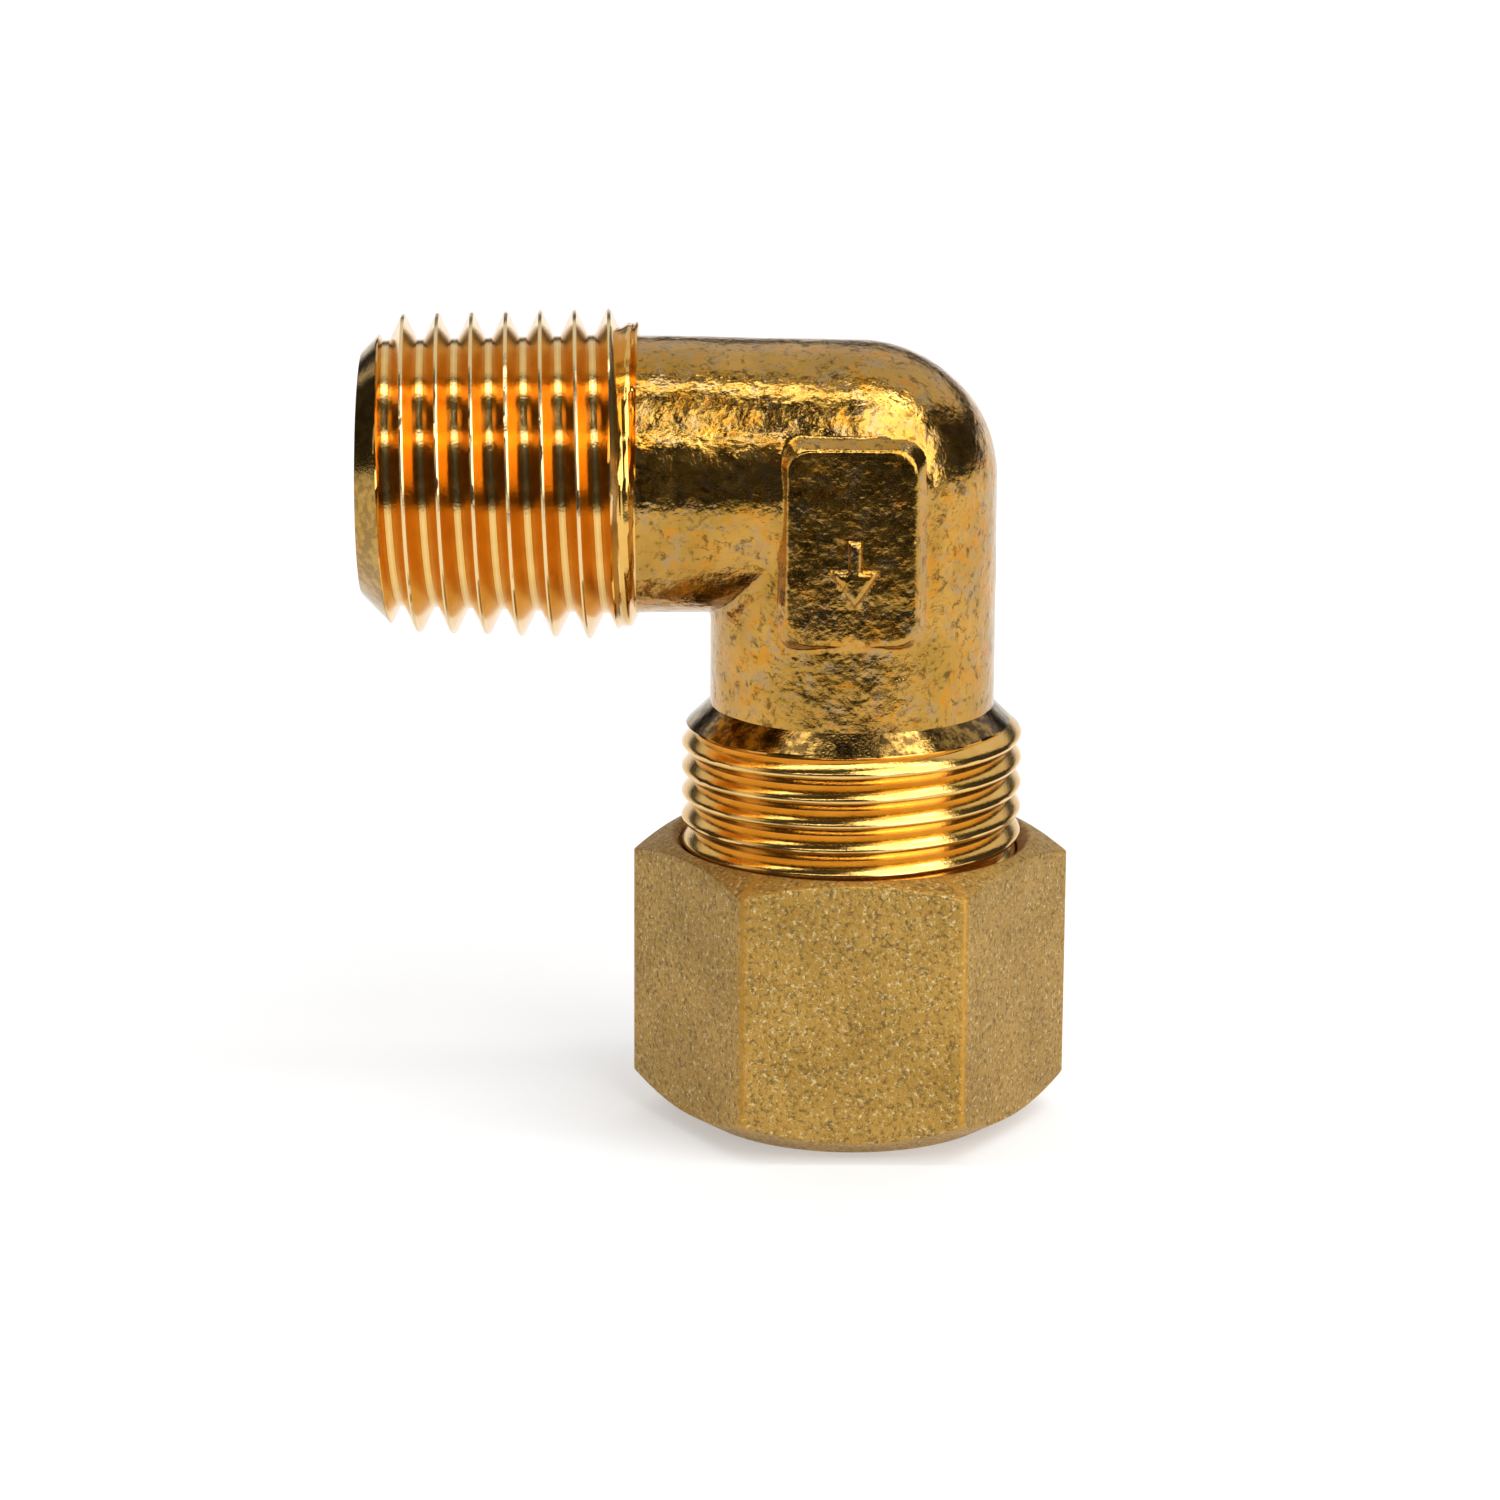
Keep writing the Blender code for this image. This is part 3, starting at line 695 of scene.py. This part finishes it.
def forged_skin():
    """Bright forged brass: orange-peel relief, and tan, orange and greenish stains."""
    n = Nodes("forged_skin")
    colour = n.mix(n.spread(n.noise(2.6 * MM), 0.38, 0.62), (0.43, 0.24, 0.044), (0.56, 0.31, 0.065))
    tan = n.spread(n.noise(0.95 * MM, 7.0, 0.70, 0.6), 0.51, 0.60, 0.0, 0.85)
    colour = n.mix(tan, colour, (0.42, 0.275, 0.12))
    orange = n.spread(n.noise(1.00 * MM, 6.0, 0.68, 1.2), 0.53, 0.61, 0.0, 0.75)
    colour = n.mix(orange, colour, (0.60, 0.245, 0.020))
    dark = n.spread(n.noise(0.42 * MM, 6.0, 0.74, 0.4), 0.53, 0.63, 0.0, 0.85)
    colour = n.mix(dark, colour, (0.13, 0.07, 0.015))
    rough = n.sum((n.noise(0.5 * MM, 4.0, 0.6), 0.22), (n.noise(2.0 * MM), 0.12))
    relief = n.sum(
        (n.noise(0.75 * MM, 2.0, 0.5), 1.0),
        (n.noise(0.26 * MM, 3.0, 0.55), 0.40),
        (n.noise(0.08 * MM, 2.0), 0.07),
    )
    n.bump(relief, 0.048 * MM)
    return n.finish(colour, n.spread(rough, 0.10, 0.24, 0.07, 0.25))


def cut_thread(name, depth):
    """Machined brass: saturated flanks, crests and roots paler as a painted highlight, and darker where the
    attribute is below 0: painted shade on the shoulder, and darkening on the pipe's end chamfer.
    """
    n = Nodes(name)
    sheen_wear_and_darkening = n.add("ShaderNodeAttribute", attribute_name="sheen_wear_and_darkening").outputs["Fac"]
    colour = n.mix(n.spread(n.noise(1.2 * MM), 0.35, 0.65), (0.74, 0.42, 0.095), (0.81, 0.49, 0.13))
    # Painted highlight: crests and roots paler
    colour = n.mix(n.spread(sheen_wear_and_darkening, 0.1, 0.9), colour, (0.86, 0.70, 0.42))
    # Darker where the attribute is below 0: painted shade on the shoulder, darkening on the pipe's end
    # chamfer
    darkening = n.mix(n.spread(n.noise(0.5 * MM, 5.0, 0.7), 0.44, 0.58), (0.08, 0.045, 0.012), (0.36, 0.21, 0.05))
    colour = n.mix(n.spread(sheen_wear_and_darkening, -1.0, 0.0, 1.0, 0.0), colour, darkening)
    rough = n.sum((n.noise(0.3 * MM, 3.0), 0.12), (sheen_wear_and_darkening, 0.10))
    n.bump(n.noise(0.11 * MM, 3.0, 0.6), depth)
    return n.finish(colour, n.spread(rough, 0.0, 0.20, 0.08, 0.26))


def tumbled_nut():
    """Matt brass bar: a fine sandy grain with dark pits, pale specks and orange corners."""
    n = Nodes("tumbled_nut")
    colour = n.mix(n.spread(n.noise(3.2 * MM), 0.36, 0.64), (0.42, 0.245, 0.052), (0.52, 0.31, 0.072))
    pits = n.spread(n.noise(0.20 * MM, 5.0, 0.7), 0.50, 0.62, 0.0, 0.85)
    colour = n.mix(pits, colour, (0.17, 0.11, 0.04))
    specks = n.spread(n.noise(0.17 * MM, 4.0, 0.7, 0.4), 0.56, 0.66, 0.0, 0.8)
    colour = n.mix(specks, colour, (0.78, 0.66, 0.36))
    edge = n.add("ShaderNodeAttribute", attribute_name="sheen_wear_and_darkening").outputs["Fac"]
    colour = n.mix(n.spread(edge, 0.0, 1.0, 0.0, 0.75), colour, (0.56, 0.29, 0.045))
    relief = n.sum((n.noise(0.20 * MM, 4.0, 0.65), -1.0), (n.noise(0.09 * MM, 2.0), 0.4))
    n.bump(relief, 0.060 * MM)
    return n.finish(colour, n.spread(n.noise(0.4 * MM, 3.0), 0.3, 0.7, 0.42, 0.58))


def bright_sleeve():
    n = Nodes("bright_sleeve")
    colour = n.mix(n.noise(1.0 * MM), (0.74, 0.47, 0.13), (0.80, 0.55, 0.20))
    n.bump(n.noise(0.12 * MM, 2.0), 0.01 * MM)
    return n.finish(colour, n.spread(n.noise(0.5 * MM), 0.3, 0.7, 0.16, 0.28))


# ---------------------------------------------------------------- studio

LIT_HEIGHT = 20 * MM  # the height that the lamps point at
LAMP_DISTANCE = 0.60
SHEET_LIGHT_DISTANCE = 0.95
ROOM_GLOW = 0.05
FLOOR_REACH = 6.0
FLOOR_HEIGHT = -0.02 * MM
FLAG_REACH = 1.5
FLAG_EDGE = -80 * MM
FLAG_HEIGHT = 1 * MM


def lamp(name, direction, distance, size, strength, target):
    """A rectangular soft light that faces the fitting, from an (azimuth, elevation) in degrees.

    Azimuth 0 is the camera's side, and positive is to the right.
    """
    azimuth, elevation = (math.radians(angle) for angle in direction)
    away = Vector((
        math.sin(azimuth) * math.cos(elevation),
        -math.cos(azimuth) * math.cos(elevation),
        math.sin(elevation),
    ))
    light = bpy.data.lights.new(name, "AREA")
    light.shape = "RECTANGLE"
    light.size, light.size_y = size
    light.energy = strength * size[0] * size[1] * math.pi
    made = bpy.data.objects.new(name, light)
    made.location = target + away * distance
    made.rotation_euler = away.to_track_quat("Z", "Y").to_euler()
    bpy.context.scene.collection.objects.link(made)
    return made


def card(name, corners, material):
    """A flat four-sided sheet of the set, which isn't part of the fitting."""
    mesh = bpy.data.meshes.new(name)
    mesh.from_pydata(corners, [], [(0, 1, 2, 3)])
    mesh.materials.append(material)
    made = bpy.data.objects.new(name, mesh)
    bpy.context.scene.collection.objects.link(made)
    return made


def matt(name, shade, glow=0.0):
    n = Nodes(name)
    n.shader.inputs["Emission Color"].default_value = (1.0, 1.0, 1.0, 1.0)
    n.shader.inputs["Emission Strength"].default_value = glow
    n.shader.inputs["Roughness"].default_value = 0.9
    n.shader.inputs["Base Color"].default_value = (shade, shade, shade, 1.0)
    n.shader.inputs["Specular IOR Level"].default_value = 0.0
    return n.material


def flat_corners(low, high, height):
    return [
        (low[0], low[1], height), (high[0], low[1], height),
        (high[0], high[1], height), (low[0], high[1], height),
    ]


def studio():
    """A glowing white sheet to stand on, soft lights all round, and a dark flag low in front.

    Only the brass sees the flag, as a dark band.
    """
    target = Vector((AXIS_X, 0.0, LIT_HEIGHT))
    lamp("overhead", (0.0, 87.0), LAMP_DISTANCE, (1.0, 0.09), 4.5, target)
    lamp("front_strip", (0.0, 41.7), LAMP_DISTANCE, (0.9, 0.026), 9.0, target)
    lamp("key", (44.0, 34.0), LAMP_DISTANCE, (0.58, 0.90), 3.0, target)
    lamp("left_fill", (-80.0, 20.0), LAMP_DISTANCE, (0.22, 0.40), 0.7, target)
    lamp("backdrop", (180.0, 5.0), LAMP_DISTANCE, (1.4, 0.13), 0.9, target)
    lamp("back_ceiling", (180.0, 52.0), LAMP_DISTANCE, (1.3, 0.62), 0.75, target)
    behind = lamp("sheet_light", (180.0, 32.0), SHEET_LIGHT_DISTANCE, (3.0, 0.9), 0.95, target)
    behind.rotation_euler = (0.0, 0.0, 0.0)
    behind.visible_glossy = False
    world = bpy.data.worlds.new("studio")
    world.use_nodes = True
    world.node_tree.nodes["Background"].inputs["Color"].default_value = (1.0, 0.97, 0.93, 1.0)
    world.node_tree.nodes["Background"].inputs["Strength"].default_value = ROOM_GLOW
    bpy.context.scene.world = world
    reach = FLOOR_REACH
    floor = flat_corners((-reach, -reach), (reach, reach), FLOOR_HEIGHT)
    card("floor", floor, matt("floor", 0.55, 0.42))
    dark = flat_corners((-FLAG_REACH, -FLAG_REACH), (FLAG_REACH, FLAG_EDGE), FLAG_HEIGHT)
    flag = card("flag", dark, matt("flag", 0.03))
    flag.visible_camera = False
    flag.visible_shadow = False
    flag.visible_diffuse = False


def camera():
    """A long lens in front of the fitting, a little above it, and level with the photograph's."""
    focal = 5057 / 1500  # in frame widths
    turn, rise, roll = (math.radians(angle) for angle in (-0.11, 14.08, 0.31))
    distance = 211.8 * MM
    aim = Vector((AXIS_X, 0.0, 18 * MM))
    across = 0.0679  # where the aim point falls, right of and above the middle, in frame widths
    above = 0.0364
    back = Vector((
        math.sin(turn) * math.cos(rise), -math.cos(turn) * math.cos(rise), math.sin(rise),
    ))
    right = Vector((math.cos(turn), math.sin(turn), 0.0))
    up = back.cross(right)
    tilted_right = right * math.cos(roll) + up * math.sin(roll)
    tilted_up = up * math.cos(roll) - right * math.sin(roll)
    data = bpy.data.cameras.new("camera")
    data.sensor_width = 36.0
    data.lens = 36.0 * focal
    data.clip_start = 0.01
    made = bpy.data.objects.new("camera", data)
    place = aim - tilted_right * (across * distance / focal) - tilted_up * (
        above * distance / focal) + back * distance
    frame = Matrix((tilted_right, tilted_up, back)).transposed().to_4x4()
    made.matrix_world = Matrix.Translation(place) @ frame
    bpy.context.scene.collection.objects.link(made)
    bpy.context.scene.camera = made


def show(piece, material, body, node=None):
    piece.data.materials.clear()
    piece.data.materials.append(material)
    piece.data.shade_smooth()
    piece.data.set_sharp_from_angle(angle=SHARP_ANGLE)
    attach(piece, body)
    if node:
        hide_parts(node)


def main():
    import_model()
    show(bored_forging(), forged_skin(), "body", "elbow_body")
    show(male_thread(), cut_thread("pipe_thread", 0.006 * MM), "body")
    show(compression_thread(), cut_thread("nut_thread", 0.006 * MM), "body")
    show(nut(), tumbled_nut(), "nut", "compression_nut")
    show(sleeve(), bright_sleeve(), "sleeve", "compression_sleeve")
    studio()
    camera()
    bpy.context.scene.view_settings.view_transform = "Standard"


main()
